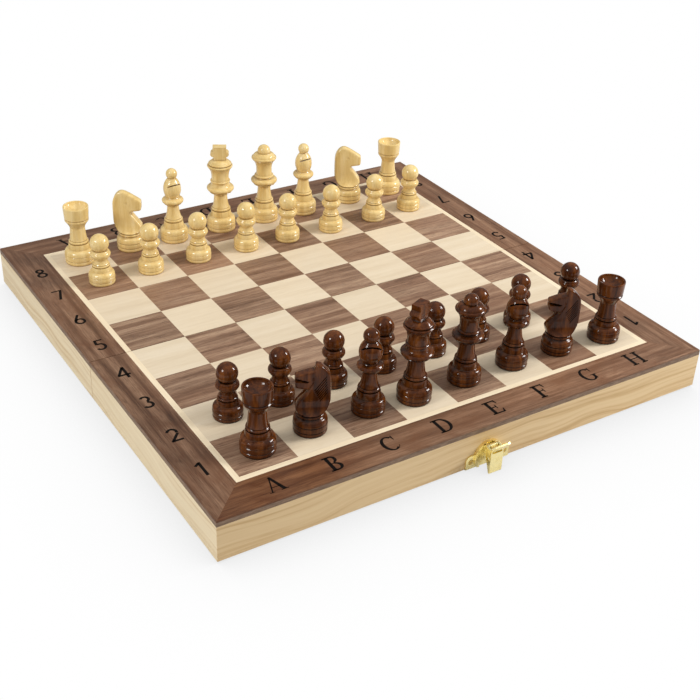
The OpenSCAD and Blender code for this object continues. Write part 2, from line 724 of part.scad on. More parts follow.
// one man, standing near the middle of its square
module man(which) {
    kind = which[1];
    dark = which[4];
    color(dark ? DARK_MAN : LIGHT_MAN)
        translate([(which[2] - 3.5) * square + which[5][0] * off_middle * square / 100,
            (which[3] - 3.5) * square + which[5][1] * off_middle * square / 100, top_z]) {
            if (kind == "king") king(dark ? dark_king_turn : light_king_turn);
            if (kind == "queen") queen();
            if (kind == "bishop") bishop(dark ? dark_mitre_turn : light_mitre_turn,
                dark ? dark_mitre_slope : light_mitre_slope, dark ? dark_mitre_r : light_mitre_r,
                dark ? dark_mitre_ball_r : light_mitre_ball_r);
            if (kind == "knight") knight(dark ? -1 : 1, dark ? dark_knight_turn : light_knight_turn);
            if (kind == "rook") rook();
            if (kind == "pawn") pawn();
        }
}

// ---- what is drawn ----

end_wall(near);  // near_end_wall
hinge_wall(near);  // near_hinge_wall
side_walls(near);  // near_side_walls
panel(near);  // near_panel
border(near);  // near_border
strip(near);  // near_strip
squares(near, true);  // near_dark_squares
squares(near, false);  // near_light_squares
lining(near);  // near_lining
end_wall(far);  // far_end_wall
hinge_wall(far);  // far_hinge_wall
side_walls(far);  // far_side_walls
panel(far);  // far_panel
border(far);  // far_border
strip(far);  // far_strip
squares(far, true);  // far_dark_squares
squares(far, false);  // far_light_squares
lining(far);  // far_lining
hinge_leaves(near);  // near_hinge_leaves
hinge_leaves(far);  // far_hinge_leaves
hinge_pins();
near_screws();
far_screws();
clasp_plate();
clasp_pin();
clasp_tongue();
catch_plate();
for (which = MEN) man(which);
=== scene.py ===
"""The looks of a folding chess box that lies open as a board, with its men set up on it."""
import json
import math

import bpy
from mathutils import Euler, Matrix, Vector
from mathutils.geometry import delaunay_2d_cdt


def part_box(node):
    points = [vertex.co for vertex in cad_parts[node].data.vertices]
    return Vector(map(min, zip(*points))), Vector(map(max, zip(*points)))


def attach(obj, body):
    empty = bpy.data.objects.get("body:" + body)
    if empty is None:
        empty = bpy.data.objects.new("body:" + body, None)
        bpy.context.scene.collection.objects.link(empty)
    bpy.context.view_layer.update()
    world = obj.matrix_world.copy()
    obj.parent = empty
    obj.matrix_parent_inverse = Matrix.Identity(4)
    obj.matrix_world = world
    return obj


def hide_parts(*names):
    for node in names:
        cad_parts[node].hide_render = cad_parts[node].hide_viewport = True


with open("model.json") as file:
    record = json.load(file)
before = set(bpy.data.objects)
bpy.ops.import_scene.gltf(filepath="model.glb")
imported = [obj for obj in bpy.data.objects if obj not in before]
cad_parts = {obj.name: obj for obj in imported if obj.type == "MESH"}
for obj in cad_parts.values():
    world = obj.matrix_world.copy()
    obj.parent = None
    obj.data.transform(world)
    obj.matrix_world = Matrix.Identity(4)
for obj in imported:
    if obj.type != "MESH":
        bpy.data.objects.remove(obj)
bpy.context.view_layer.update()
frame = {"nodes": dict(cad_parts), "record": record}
NODES = frame["nodes"]
BODY_OF = {n: b for b, ns in frame["record"]["behaviour"]["bodies"].items() for n in ns}

# ---- sizes, in metres unless a comment says otherwise ----
SQUARE = 0.0305
FIELD = 4 * SQUARE                  # half of the playing field's width
STRIP = 0.003                       # the light strip round the field
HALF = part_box("near_border")[1].x   # half of the board's width
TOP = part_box("near_border")[1].z    # the playing face
MM = 0.001
FILES = "abcdefgh"

# ---- camera ----
# The photograph was fitted with a flat board of this size.
PHOTO_PX = 700
FOCAL_PX = 1186.9   # focal length, in pixels of the photograph
SENSOR = 36.0       # mm
CAMERA_AT = (-0.3131, -0.5011, 0.3547)
TURN, DOWN, ROLL = 33.15, 31.80, 2.36   # degrees: from +Y towards +X, below level, anticlockwise

camera = bpy.data.objects.new("camera", bpy.data.cameras.new("camera"))
bpy.context.collection.objects.link(camera)
camera.data.sensor_width = SENSOR
camera.data.lens = SENSOR * FOCAL_PX / PHOTO_PX
camera.data.clip_start = 0.01
camera.location = CAMERA_AT
looking = Euler((math.radians(90 - DOWN), 0, math.radians(-TURN))).to_matrix()
camera.rotation_euler = (looking @ Euler((0, 0, math.radians(ROLL))).to_matrix()).to_euler()
bpy.context.scene.camera = camera
bpy.context.scene.view_settings.view_transform = "Standard"


# ---- materials ----
def lin(r, g, b):
    """An sRGB colour, 0 to 255, as the linear colour that Blender takes."""
    def one(c):
        c /= 255
        return c / 12.92 if c <= 0.04045 else ((c + 0.055) / 1.055) ** 2.4
    return (one(r), one(g), one(b), 1.0)


class Nodes:
    """A node tree that is built step by step."""

    def __init__(self, tree):
        self.tree = tree

    def add(self, kind, inputs=(), **settings):
        node = self.tree.nodes.new(kind)
        for key, value in settings.items():
            setattr(node, key, value)
        for key, value in dict(inputs).items():
            if isinstance(value, bpy.types.NodeSocket):
                self.tree.links.new(value, node.inputs[key])
            else:
                node.inputs[key].default_value = value
        return node

    def maths(self, operation, a, b=0.0):
        return self.add("ShaderNodeMath", {0: a, 1: b}, operation=operation).outputs[0]

    def vector(self, operation, a, b=(0, 0, 0)):
        return self.add("ShaderNodeVectorMath", {0: a, 1: b}, operation=operation).outputs[0]

    def split(self, vector):
        return self.add("ShaderNodeSeparateXYZ", {0: vector}).outputs

    def join(self, x, y, z):
        return self.add("ShaderNodeCombineXYZ", {0: x, 1: y, 2: z}).outputs[0]

    def noise(self, vector, scale, detail=2.0, rough=0.5, distortion=0.0):
        inputs = {"Vector": vector, "Scale": scale, "Detail": detail, "Roughness": rough,
                  "Distortion": distortion}
        return self.add("ShaderNodeTexNoise", inputs).outputs[0]

    def ramp(self, value, stops):
        """Colours along a value: stops are (place, colour)."""
        node = self.add("ShaderNodeValToRGB", {0: value})
        elements = node.color_ramp.elements
        while len(elements) < len(stops):
            elements.new(1.0)
        for element, (at, colour) in zip(elements, stops):
            element.position = at
            element.color = colour
        return node.outputs[0]

    def level(self, value, low, high, to_low=0.0, to_high=1.0):
        inputs = {0: value, 1: low, 2: high, 3: to_low, 4: to_high}
        return self.add("ShaderNodeMapRange", inputs).outputs[0]

    def mix(self, factor, a, b, way="MIX"):
        node = self.add("ShaderNodeMix", {0: factor, 6: a, 7: b}, data_type="RGBA", blend_type=way)
        return node.outputs[2]

    def mix_vector(self, factor, a, b):
        node = self.add("ShaderNodeMix", {0: factor, 4: a, 5: b}, data_type="VECTOR")
        return node.outputs[1]

    def toned(self, colour, tone):
        """A colour times a number."""
        return self.mix(1.0, colour, self.join(tone, tone, tone), "MULTIPLY")

    def blend(self, a, b, share):
        """Two values, with a share of the first one."""
        return self.maths("ADD", self.maths("MULTIPLY", a, share),
                          self.maths("MULTIPLY", b, 1 - share))


class Paint(Nodes):
    """A material on the Principled shader."""

    def __init__(self, name, **sockets):
        self.material = bpy.data.materials.new(name)
        self.material.use_nodes = True
        super().__init__(self.material.node_tree)
        self.shader = self.tree.nodes["Principled BSDF"]
        for socket, value in sockets.items():
            self.shader.inputs[socket.replace("_", " ")].default_value = value
        self.place = self.add("ShaderNodeTexCoord").outputs["Object"]

    def colour(self, socket):
        self.tree.links.new(socket, self.shader.inputs["Base Color"])

    def rough(self, socket):
        self.tree.links.new(socket, self.shader.inputs["Roughness"])

    def bump(self, height, strength, distance):
        inputs = {"Strength": strength, "Distance": distance, "Height": height}
        node = self.add("ShaderNodeBump", inputs)
        self.tree.links.new(node.outputs[0], self.shader.inputs["Normal"])


def chance_of(paint, cell, seed):
    """A number from 0 to 1 for each whole-numbered cell."""
    moved = paint.vector("ADD", cell, (seed, seed * 0.37, 0.5))
    return paint.add("ShaderNodeTexWhiteNoise", {"Vector": moved}, noise_dimensions="3D").outputs[0]


def square_cell(paint):
    """Whole numbers that count the squares of the field along X and Y."""
    moved = paint.vector("ADD", paint.place, (FIELD, FIELD, 0))
    counted = paint.vector("FLOOR", paint.vector("DIVIDE", moved, (SQUARE, SQUARE, 1.0)))
    x, y, _ = paint.split(counted)
    return paint.join(x, y, 0.0)


def board_side(paint, x, y):
    """1 on the sides that run along Y, and 0 on those along X, with mitred corners."""
    return paint.maths("GREATER_THAN", paint.maths("ABSOLUTE", x), paint.maths("ABSOLUTE", y))


def along_side(paint, sideways, x, y, z):
    """The coordinates with the way along each side first."""
    return paint.split(paint.mix_vector(sideways, paint.join(x, y, z), paint.join(y, x, z)))


def elsewhere(paint, chance):
    """A shift in the plane, so that each cell shows another stretch of the same log."""
    return paint.join(paint.maths("MULTIPLY", chance, 5.0), paint.maths("MULTIPLY", chance, 3.0), 0.0)


def grained(paint, along, across, up, long_scale, shift):
    """Coordinates that stretch what is drawn on them along the grain."""
    stretched = paint.join(paint.maths("MULTIPLY", along, long_scale), across, up)
    return paint.vector("ADD", stretched, shift)


GRAIN_WAVE = 0.0024   # how far the grain wanders sideways


def wood(paint, where, stops, coarse, fine, pores):
    """Long streaks in two sizes and fine dark pores. where is stretched along the grain."""
    waves = paint.maths("MULTIPLY", paint.noise(where, 26.0, 1.0), GRAIN_WAVE)
    bent = paint.vector("ADD", where, paint.join(0.0, waves, 0.0))
    broad = paint.noise(bent, coarse, 3.0, 0.55)
    thin = paint.noise(bent, fine, 4.0, 0.65)
    colour = paint.ramp(paint.blend(broad, thin, 0.6), stops)
    flecks = paint.level(paint.noise(bent, pores, 2.0, 0.5), 0.56, 0.72)
    return colour, flecks, thin


RED_STRETCH = (-0.050, -0.085)       # from where along the near side, and to where it is full
RED_TONE = (0.78, 0.60, 0.44, 1.0)


def walnut(name, border):
    """Dark veneer: squares with the grain along X, or a border whose grain follows each side."""
    p = Paint(name, Roughness=0.42, Specular_IOR_Level=0.3)
    x, y, z = p.split(p.place)
    # darker towards the left end (-X) and lighter towards the right (+X)
    light = p.level(x, -HALF, HALF, 0.0, 1.0)
    if border:
        # each strip of veneer has its own number: 2 for the far half, 4 for a side, 8 more on the right
        sideways = board_side(p, x, y)
        far = p.maths("GREATER_THAN", y, 0.0)
        right = p.maths("MULTIPLY", p.maths("GREATER_THAN", x, 0.0), sideways)
        number = p.maths("ADD", p.maths("MULTIPLY", far, 2.0),
                         p.maths("ADD", p.maths("MULTIPLY", sideways, 4.0),
                                 p.maths("MULTIPLY", right, 8.0)))
        chance = chance_of(p, p.join(number, 0.0, 0.0), 3.1)
        x, y, z = along_side(p, sideways, x, y, z)
        stops = [(0.30, lin(62, 38, 24)), (0.43, lin(104, 72, 51)), (0.54, lin(138, 104, 80)),
                 (0.68, lin(172, 136, 107))]
        low, high = 0.82, 1.04
    else:
        chance = chance_of(p, square_cell(p), 7.3)
        stops = [(0.32, lin(84, 58, 43)), (0.44, lin(128, 97, 76)), (0.54, lin(153, 122, 98)),
                 (0.66, lin(184, 153, 126))]
        low, high = 0.92, 1.08
    where = grained(p, x, y, z, 0.045, elsewhere(p, chance))
    colour, flecks, thin = wood(p, where, stops, 210.0, 1500.0, 3600.0)
    colour = p.mix(p.maths("MULTIPLY", flecks, 0.8), colour, lin(64, 41, 30))
    if border:
        # clouded, as veneer cut near a root
        cloud = p.noise(p.vector("MULTIPLY", where, (14.0, 1.0, 1.0)), 75.0, 4.0, 0.6, 0.8)
        colour = p.mix(p.level(cloud, 0.48, 0.68, 0.0, 0.55), colour, lin(104, 64, 40))
    # some patches are redder and some greyer, as in veneer cut from one log
    warm = p.noise(p.vector("MULTIPLY", where, (6.0, 1.0, 1.0)), 22.0, 2.0)
    colour = p.mix(p.level(warm, 0.42, 0.68, 0.0, 0.30), colour, lin(152, 108, 78))
    broad = p.noise(p.vector("MULTIPLY", where, (3.0, 1.0, 1.0)), 70.0, 2.0)
    tone = p.maths("MULTIPLY", p.level(chance, 0.0, 1.0, 0.93, 1.07), p.level(light, 0.0, 1.0, low, high))
    colour = p.toned(colour, p.maths("MULTIPLY", tone, p.level(broad, 0.3, 0.7, 0.88, 1.12)))
    if border:
        # a red and darker stretch of the near side, towards the first files
        near = p.maths("LESS_THAN", p.maths("ADD", y, sideways), 0.0)
        near_left = p.maths("MULTIPLY", p.level(x, *RED_STRETCH), near)
        colour = p.mix(near_left, colour, p.mix(1.0, colour, RED_TONE, "MULTIPLY"))
    p.colour(colour)
    p.rough(p.level(thin, 0.3, 0.7, 0.36, 0.50))
    p.bump(p.maths("SUBTRACT", thin, flecks), 0.3, 0.00012)
    return p.material


def maple(name, strip):
    """Light veneer with a faint grain."""
    p = Paint(name, Roughness=0.42, Specular_IOR_Level=0.35)
    x, y, z = p.split(p.place)
    if strip:
        x, y, z = along_side(p, board_side(p, x, y), x, y, z)
        shift = (0.3, 0.1, 0.0)
        stops = [(0.3, lin(230, 208, 174)), (0.5, lin(238, 220, 188)), (0.7, lin(244, 228, 200))]
    else:
        chance = chance_of(p, square_cell(p), 11.7)
        shift = elsewhere(p, chance)
        stops = [(0.3, lin(214, 194, 164)), (0.5, lin(225, 207, 178)), (0.7, lin(232, 216, 190))]
    where = grained(p, x, y, z, 0.06, shift)
    colour, flecks, thin = wood(p, where, stops, 170.0, 1500.0, 3200.0)
    colour = p.mix(p.maths("MULTIPLY", flecks, 0.16), colour, lin(200, 172, 134))
    if not strip:
        colour = p.toned(colour, p.level(chance, 0.0, 1.0, 0.96, 1.02))
    p.colour(colour)
    p.rough(p.level(thin, 0.3, 0.7, 0.38, 0.48))
    p.bump(thin, 0.12, 0.00008)
    return p.material


RING_WANDER = 0.030   # how far the growth rings rise and fall


def pine(name, axis):
    """Solid pale wood with soft long bands. axis is 0 for walls along X and 1 for walls along Y."""
    p = Paint(name, Roughness=0.5, Specular_IOR_Level=0.3)
    x, y, z = p.split(p.place)
    along, across = (x, y) if axis == 0 else (y, x)
    # each half is cut from another plank
    chance = p.maths("MULTIPLY", p.maths("GREATER_THAN", y, 0.0), 1.7)
    # growth rings: bands that lie along the wall and wander slowly
    wander = p.noise(grained(p, along, across, z, 1.0, (0.4, 0.2, 0.9)), 9.0, 2.0)
    height = p.maths("ADD", p.maths("ADD", z, p.maths("MULTIPLY", wander, RING_WANDER)), chance)
    where = p.join(p.maths("MULTIPLY", along, 0.02), p.maths("MULTIPLY", across, 0.5), height)
    bands = p.noise(where, 330.0, 2.0, 0.5)
    fibres = p.noise(p.join(p.maths("MULTIPLY", along, 0.04), across, height), 1500.0, 3.0, 0.6)
    if axis == 0:
        # the end walls are yellower
        stops = [(0.34, lin(238, 209, 162)), (0.48, lin(232, 201, 153)), (0.58, lin(220, 186, 136)),
                 (0.68, lin(204, 167, 115))]
    else:
        stops = [(0.34, lin(238, 220, 185)), (0.48, lin(233, 213, 177)), (0.58, lin(224, 201, 162)),
                 (0.68, lin(212, 185, 141))]
    colour = p.ramp(p.blend(bands, fibres, 0.75), stops)
    if axis == 0:
        colour = p.toned(colour, p.level(x, -HALF, HALF, 0.96, 0.98))
    p.colour(colour)
    p.rough(p.level(fibres, 0.3, 0.7, 0.46, 0.58))
    p.bump(fibres, 0.18, 0.0001)
    return p.material


STAIN_DEEP = 0.0008


def plywood(name):
    """The panel: stained edges all round, bare wood inside."""
    p = Paint(name, Roughness=0.55, Specular_IOR_Level=0.25)
    x, y, z = p.split(p.place)
    reach = p.maths("MAXIMUM", p.maths("ABSOLUTE", x), p.maths("ABSOLUTE", y))
    edge = p.maths("GREATER_THAN", reach, HALF - STAIN_DEEP)
    long_way = p.join(p.maths("MULTIPLY", x, 0.2), p.maths("MULTIPLY", y, 0.2), z)
    grain = p.noise(long_way, 1400.0, 3.0, 0.6)
    stain = p.ramp(grain, [(0.3, lin(112, 90, 74)), (0.7, lin(150, 124, 102))])
    bare = p.ramp(p.noise(p.join(p.maths("MULTIPLY", x, 0.05), y, z), 500.0, 3.0),
                  [(0.3, lin(206, 176, 132)), (0.7, lin(226, 200, 158))])
    p.colour(p.mix(edge, bare, stain))
    p.bump(grain, 0.2, 0.0001)
    return p.material


def cloth(name):
    """Green felt."""
    p = Paint(name, Roughness=0.95, Specular_IOR_Level=0.1, Sheen_Weight=0.35, Sheen_Roughness=0.6)
    fuzz = p.noise(p.place, 2600.0, 4.0, 0.7)
    soft = p.noise(p.place, 60.0, 2.0, 0.5)
    p.colour(p.ramp(p.blend(fuzz, soft, 0.6), [(0.3, lin(24, 62, 42)), (0.7, lin(44, 96, 68))]))
    p.bump(fuzz, 0.6, 0.0003)
    return p.material


def metal(name, colour, tarnish, rough):
    """Plated sheet brass with faint wear."""
    p = Paint(name, Metallic=1.0, Roughness=rough)
    wear = p.noise(p.place, 260.0, 3.0, 0.6)
    scratch = p.noise(p.vector("MULTIPLY", p.place, (0.3, 1.0, 1.4)), 2400.0, 2.0, 0.5)
    p.colour(p.mix(p.level(wear, 0.45, 0.75, 0.0, 0.6), colour, tarnish))
    p.rough(p.level(wear, 0.3, 0.7, rough - 0.05, rough + 0.06))
    p.bump(scratch, 0.08, 0.00005)
    return p.material


GROOVE_SHADE_REACH = 0.0016   # how near a wall has to be for painted shade to darken a groove


def lacquer(name, stops, streak, groove_shade_colour, groove_shade_share, gloss, rough):
    """Turned wood under gloss lacquer, with its grain upright, and painted shade that darkens its grooves."""
    p = Paint(name, Roughness=rough, Specular_IOR_Level=gloss)
    x, y, z = p.split(p.place)
    where = p.join(x, y, p.maths("MULTIPLY", z, 0.08))
    broad = p.noise(where, 300.0, 2.5, 0.5, 0.3)
    thin = p.noise(where, 1500.0, 3.0, 0.6)
    colour = p.ramp(p.blend(broad, thin, 0.7), stops)
    flecks = p.level(p.noise(where, 3000.0, 2.0), 0.56, 0.72)
    colour = p.mix(p.maths("MULTIPLY", flecks, 0.45), colour, streak)
    # painted shade: the colour is darkened where ambient occlusion finds walls close by, as in the grooves
    ao_for_painted_shade = p.add("ShaderNodeAmbientOcclusion", {"Distance": GROOVE_SHADE_REACH}, samples=6).outputs["AO"]
    colour = p.mix(p.level(ao_for_painted_shade, 0.45, 0.92, groove_shade_share, 0.0), colour, groove_shade_colour)
    p.colour(colour)
    p.rough(p.level(thin, 0.3, 0.7, rough * 0.85, rough * 1.2))
    return p.material


def ink(name):
    """Burnt black of the letters and digits."""
    p = Paint(name, Roughness=0.6, Specular_IOR_Level=0.1)
    char = p.noise(p.place, 1800.0, 3.0, 0.6)
    p.colour(p.ramp(char, [(0.3, lin(7, 5, 4)), (0.8, lin(24, 17, 13))]))
    p.bump(char, 0.2, 0.0001)
    return p.material


SQUARES_DARK = walnut("dark_veneer", False)
BORDER = walnut("border_veneer", True)
SQUARES_LIGHT = maple("light_veneer", False)
STRIP_LIGHT = maple("strip_veneer", True)
PINE_X = pine("pine_along_x", 0)
PINE_Y = pine("pine_along_y", 1)
PLY = plywood("panel_ply")
FELT = cloth("felt_green")
BRASS = metal("brass_plate", lin(255, 240, 178), lin(238, 214, 134), 0.24)
PIN_BRASS = metal("brass_pin", lin(214, 184, 110), lin(150, 118, 62), 0.3)
# each lacquer below also takes the colour and the share of the painted shade in its grooves
DARK_MAN = lacquer(
    "dark_lacquer",
    [(0.30, lin(46, 20, 6)), (0.46, lin(76, 37, 12)), (0.57, lin(100, 53, 18)), (0.70, lin(128, 73, 27))],
    streak=lin(34, 15, 6), groove_shade_colour=lin(12, 5, 2), groove_shade_share=0.95, gloss=0.27, rough=0.12)
LIGHT_MAN = lacquer(
    "light_lacquer",
    [(0.30, lin(218, 182, 112)), (0.46, lin(233, 202, 133)), (0.57, lin(240, 212, 148)),
     (0.70, lin(246, 221, 164))],
    streak=lin(208, 170, 102), groove_shade_colour=lin(150, 106, 48), groove_shade_share=0.75, gloss=0.5, rough=0.17)
MAN = {"dark": DARK_MAN, "light": LIGHT_MAN}
INK = ink("burnt_ink")

FINISH = {
    "end_wall": PINE_X, "hinge_wall": PINE_X, "side_walls": PINE_Y, "panel": PLY, "lining": FELT,
    "border": BORDER, "strip": STRIP_LIGHT, "dark_squares": SQUARES_DARK,
    "light_squares": SQUARES_LIGHT, "hinge_leaves": BRASS, "screws": PIN_BRASS,
    "hinge_pins": PIN_BRASS, "clasp_plate": BRASS, "clasp_pin": PIN_BRASS, "clasp_tongue": BRASS,
    "catch_plate": BRASS,
}


def finish_of(node):
    """The material of a CAD node, by its name without near_ or far_, or by its side's colour."""
    for half in ("near_", "far_"):
        if node.startswith(half):
            return FINISH[node[len(half):]]
    return FINISH[node] if node in FINISH else MAN[node.split("_")[0]]


for name, node in NODES.items():
    node.data.materials.clear()
    node.data.materials.append(finish_of(name))

# the kings' square finials have sanded corners
KING_ROUND = 0.5 * MM
KING_SHARP = 24   # degrees: what counts as a corner
for name in ("dark_king_d", "light_king_d"):
    soft = NODES[name].modifiers.new("soft_corners", "BEVEL")
    soft.width = KING_ROUND
    soft.segments = 2
    soft.limit_method = "ANGLE"
    soft.angle_limit = math.radians(KING_SHARP)


def mesh_piece(name, points, faces, material, body, smooth=False):
    """A new piece with its place in its mesh, riding on a body."""
    mesh = bpy.data.meshes.new(name)
    mesh.from_pydata(points, [], faces)
    mesh.validate()
    mesh.update()
    if smooth:
        for face in mesh.polygons:
            face.use_smooth = True
    piece = bpy.data.objects.new(name, mesh)
    bpy.context.collection.objects.link(piece)
    mesh.materials.append(material)
    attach(piece, body)
    return piece


# ---- letters and digits on the border, drawn with capitals 1 high ----
STEM, THIN, SERIF = 0.15, 0.085, 0.085   # the letters' thick and thin strokes, and their serifs
STROKE = 0.125                           # the digits' strokes, which are plain and even
SIGN_WIDE = 1.12                         # how much wider than drawn
SIGN_H = 0.0108
DIGIT_H = 0.0106
SIGN_MID = FIELD + STRIP + 0.0091        # from the board's middle to a sign's middle
# they are burnt in by hand: how far each stands off the middle of its square
LETTER_OFF = (-4.1, -3.6, -3.5, -2.6, -2.2, -2.5, -2.0, 0.3)   # mm
DIGIT_OFF = (-1.9, -2.4, -1.6, -2.2, -1.9, -2.4, -2.1, -3.6)   # mm
PROUD = 0.04 * MM                        # a sign's height above the veneer


def bar(x0, y0, x1, y1):
    """An upright box between two corners."""
    return [(x0, y0), (x1, y0), (x1, y1), (x0, y1)]


def foot(x0, x1, y, up):
    """A thin serif under (or over) a stem from x0 to x1."""
    return bar(x0 - SERIF, y if up else y - THIN, x1 + SERIF, y + THIN if up else y)


def ring(cx, cy, rx, ry, thick_x, thick_y, start, end, steps=22):
    """Pieces of an oval stroke from one angle to another, in degrees."""
    def oval(less_x, less_y, angles):
        return [(cx + (rx - less_x) * math.cos(t), cy + (ry - less_y) * math.sin(t)) for t in angles]

    pieces = []
    for k in range(steps):
        a, b = (math.radians(start + (end - start) * (k + n) / steps) for n in (0, 1))
        pieces.append(oval(0, 0, (a, b)) + oval(thick_x, thick_y, (b, a)))
    return pieces


def stem(x):
    """A thick upright stroke from x, with a serif at each end."""
    return [bar(x, 0, x + STEM, 1), foot(x, x + STEM, 0, True), foot(x, x + STEM, 1, False)]


# each letter: (its strokes, its width)
LETTERS = {
    "A": ([[(0.10, 0), (0.155, 0), (0.42, 0.93), (0.385, 1)], [(0.34, 1), (0.45, 1), (0.74, 0), (0.58, 0)],
           bar(0.18, 0.29, 0.60, 0.335), bar(0.02, 0, 0.24, 0.04), bar(0.50, 0, 0.82, 0.04)], 0.84),
    "B": (stem(0.10) + ring(0.34, 0.755, 0.22, 0.245, 0.13, THIN, -90, 90)
          + ring(0.34, 0.26, 0.27, 0.26, 0.14, THIN, -90, 90)
          + [bar(0.2, 0.955, 0.35, 1), bar(0.2, 0.475, 0.35, 0.52), bar(0.2, 0, 0.35, THIN)], 0.64),
    "C": (ring(0.41, 0.5, 0.37, 0.515, STEM, THIN, 50, 310)
          + [[(0.62, 0.90), (0.68, 1.0), (0.70, 1.0), (0.70, 0.66), (0.67, 0.66)],
             [(0.62, 0.10), (0.66, 0.13), (0.72, 0.24), (0.70, 0.26)]], 0.74),
    "D": (stem(0.10) + ring(0.34, 0.5, 0.40, 0.5, STEM, THIN, -90, 90)
          + [bar(0.2, 0.955, 0.35, 1), bar(0.2, 0, 0.35, THIN)], 0.78),
    "E": (stem(0.10) + [bar(0.2, 1 - THIN, 0.62, 1), bar(0.2, 0.47, 0.48, 0.54), bar(0.2, 0, 0.64, THIN),
                        [(0.52, 0.96), (0.62, 0.96), (0.64, 0.72), (0.60, 0.72)],
                        [(0.54, 0.04), (0.64, 0.04), (0.68, 0.29), (0.64, 0.29)],
                        bar(0.43, 0.36, 0.48, 0.65)], 0.70),
    "F": (stem(0.10) + [bar(0.2, 1 - THIN, 0.60, 1), bar(0.2, 0.47, 0.47, 0.54),
                        [(0.50, 0.96), (0.60, 0.96), (0.62, 0.70), (0.58, 0.70)],
                        bar(0.42, 0.36, 0.47, 0.65)], 0.64),
    "G": (ring(0.41, 0.5, 0.37, 0.515, STEM, THIN, 50, 315)
          + [[(0.62, 0.90), (0.68, 1.0), (0.70, 1.0), (0.70, 0.66), (0.67, 0.66)],
             bar(0.57, 0.08, 0.57 + STEM * 0.9, 0.42), bar(0.48, 0.40, 0.79, 0.44)], 0.80),
    "H": (stem(0.10) + stem(0.62) + [bar(0.2, 0.47, 0.67, 0.54)], 0.85),
}


def line(x0, y0, x1, y1):
    """A slanting stroke of a digit."""
    length = math.hypot(x1 - x0, y1 - y0)
    dx, dy = (y1 - y0) / length * STROKE / 2, -(x1 - x0) / length * STROKE / 2
    return [(x0 + dx, y0 + dy), (x1 + dx, y1 + dy), (x1 - dx, y1 - dy), (x0 - dx, y0 - dy)]


def curl(cx, cy, rx, ry, start, end):
    """A bent stroke of a digit."""
    return ring(cx, cy, rx, ry, STROKE, STROKE, start, end)


DIGITS = {
    "1": ([line(0.33, 0, 0.33, 1), line(0.33, 0.95, 0.12, 0.78)], 0.56),
    "2": (curl(0.30, 0.72, 0.25, 0.28, -30, 165)
          + [line(0.49, 0.57, 0.10, 0.06), bar(0.05, 0, 0.56, STROKE)], 0.60),
    "3": (curl(0.28, 0.745, 0.23, 0.255, -80, 150) + curl(0.28, 0.27, 0.26, 0.27, -155, 85), 0.58),
    "4": ([line(0.43, 0, 0.43, 1), line(0.43, 0.97, 0.06, 0.30),
           bar(0.03, 0.24, 0.60, 0.24 + STROKE)], 0.62),
    "5": (curl(0.28, 0.33, 0.27, 0.33, -150, 120)
          + [line(0.16, 0.55, 0.19, 0.97), bar(0.15, 0.90, 0.52, 1)], 0.58),
    "6": (curl(0.30, 0.30, 0.26, 0.30, 0, 360) + [line(0.11, 0.42, 0.38, 0.98)], 0.60),
    "7": ([bar(0.05, 0.90, 0.55, 1), line(0.49, 0.93, 0.22, 0)], 0.58),
    "8": (curl(0.30, 0.76, 0.215, 0.24, 0, 360) + curl(0.30, 0.28, 0.26, 0.28, 0, 360), 0.60),
}


def sign(name, drawing, height, x, y, flipped, body):
    """One sign as thin plates, its middle at a point of the border."""
    strokes, width = drawing
    points, faces = [], []
    up = -height if flipped else height
    for stroke in strokes:
        first = len(points)
        points += [(x + up * SIGN_WIDE * (u - width / 2), y + up * (v - 0.5), TOP + PROUD)
                   for u, v in stroke]
        faces.append(tuple(range(first, len(points))))
    mesh_piece(name, points, faces, INK, body)


for k, file in enumerate(FILES):
    middle = (k - 3.5) * SQUARE
    letter = LETTERS[file.upper()]
    sign("letter_near_" + file, letter, SIGN_H, middle + LETTER_OFF[k] * MM, -SIGN_MID, False, "near_half")
    sign("letter_far_" + file, letter, SIGN_H, middle - LETTER_OFF[7 - k] * MM, SIGN_MID, True, "far_half")
    rank, body = str(k + 1), "near_half" if k < 4 else "far_half"
    digit = DIGITS[rank]
    sign("digit_left_" + rank, digit, DIGIT_H, -SIGN_MID, middle + DIGIT_OFF[k] * MM, False, body)
    sign("digit_right_" + rank, digit, DIGIT_H, SIGN_MID, middle - DIGIT_OFF[7 - k] * MM, True, body)


# ---- knights: carved heads on turned feet, all in millimetres up to knight_piece ----
# outlines of the head, muzzle forwards, from the back of the neck round the top
NECK = [(-6.9, 0.0), (-7.9, 1.4), (-8.9, 3.2), (-9.3, 5.6), (-9.45, 8.5), (-9.5, 13.0),
        (-9.3, 17.2), (-8.7, 20.4)]
EARED = [(-6.9, 22.9), (-4.8, 24.8), (-3.1, 25.45), (-2.3, 25.35), (-1.95, 24.4), (-1.8, 22.8),
         (-1.2, 22.0), (1.0, 21.5), (3.3, 20.9), (5.2, 20.3), (7.0, 19.7)]
SMOOTH = [(-7.4, 23.0), (-5.6, 24.8), (-3.8, 25.45), (-2.0, 25.1), (0.2, 24.0), (2.6, 22.6),
          (5.2, 21.0), (6.9, 19.8)]
MUZZLE = [(7.5, 19.1), (7.6, 17.0), (7.45, 14.6), (6.95, 13.7), (5.6, 13.35), (3.6, 13.1),
          (2.0, 12.9), (1.35, 12.5), (1.3, 12.0), (1.7, 11.0), (2.8, 9.6), (4.7, 7.1),
          (6.4, 4.8), (7.2, 3.1), (7.3, 1.4), (6.9, 0.0)]
# the turned blank that the head is cut from, and its flat sides
BLANK_R, BLANK_SPREAD, BLANK_TOP = 7.0, 2.6, 6.5   # its radius at the foot, what it gains, and by what height
FLAT_HALF, FLAT_THINNER = 3.4, 1.2                 # half the thickness, and how much less at the top
THINNER_FROM, THINNER_RISE = 13, 12.5
RUN_OUT, RUN_OUT_TOP = 3.5, 8.0                    # how the flats run out into the blank at the foot
MUZZLE_LOW, MUZZLE_BACK, MUZZLE_LONG, MUZZLE_THINNER = 12, 0.5, 6.5, 0.6
HALF_LEAST = 0.3
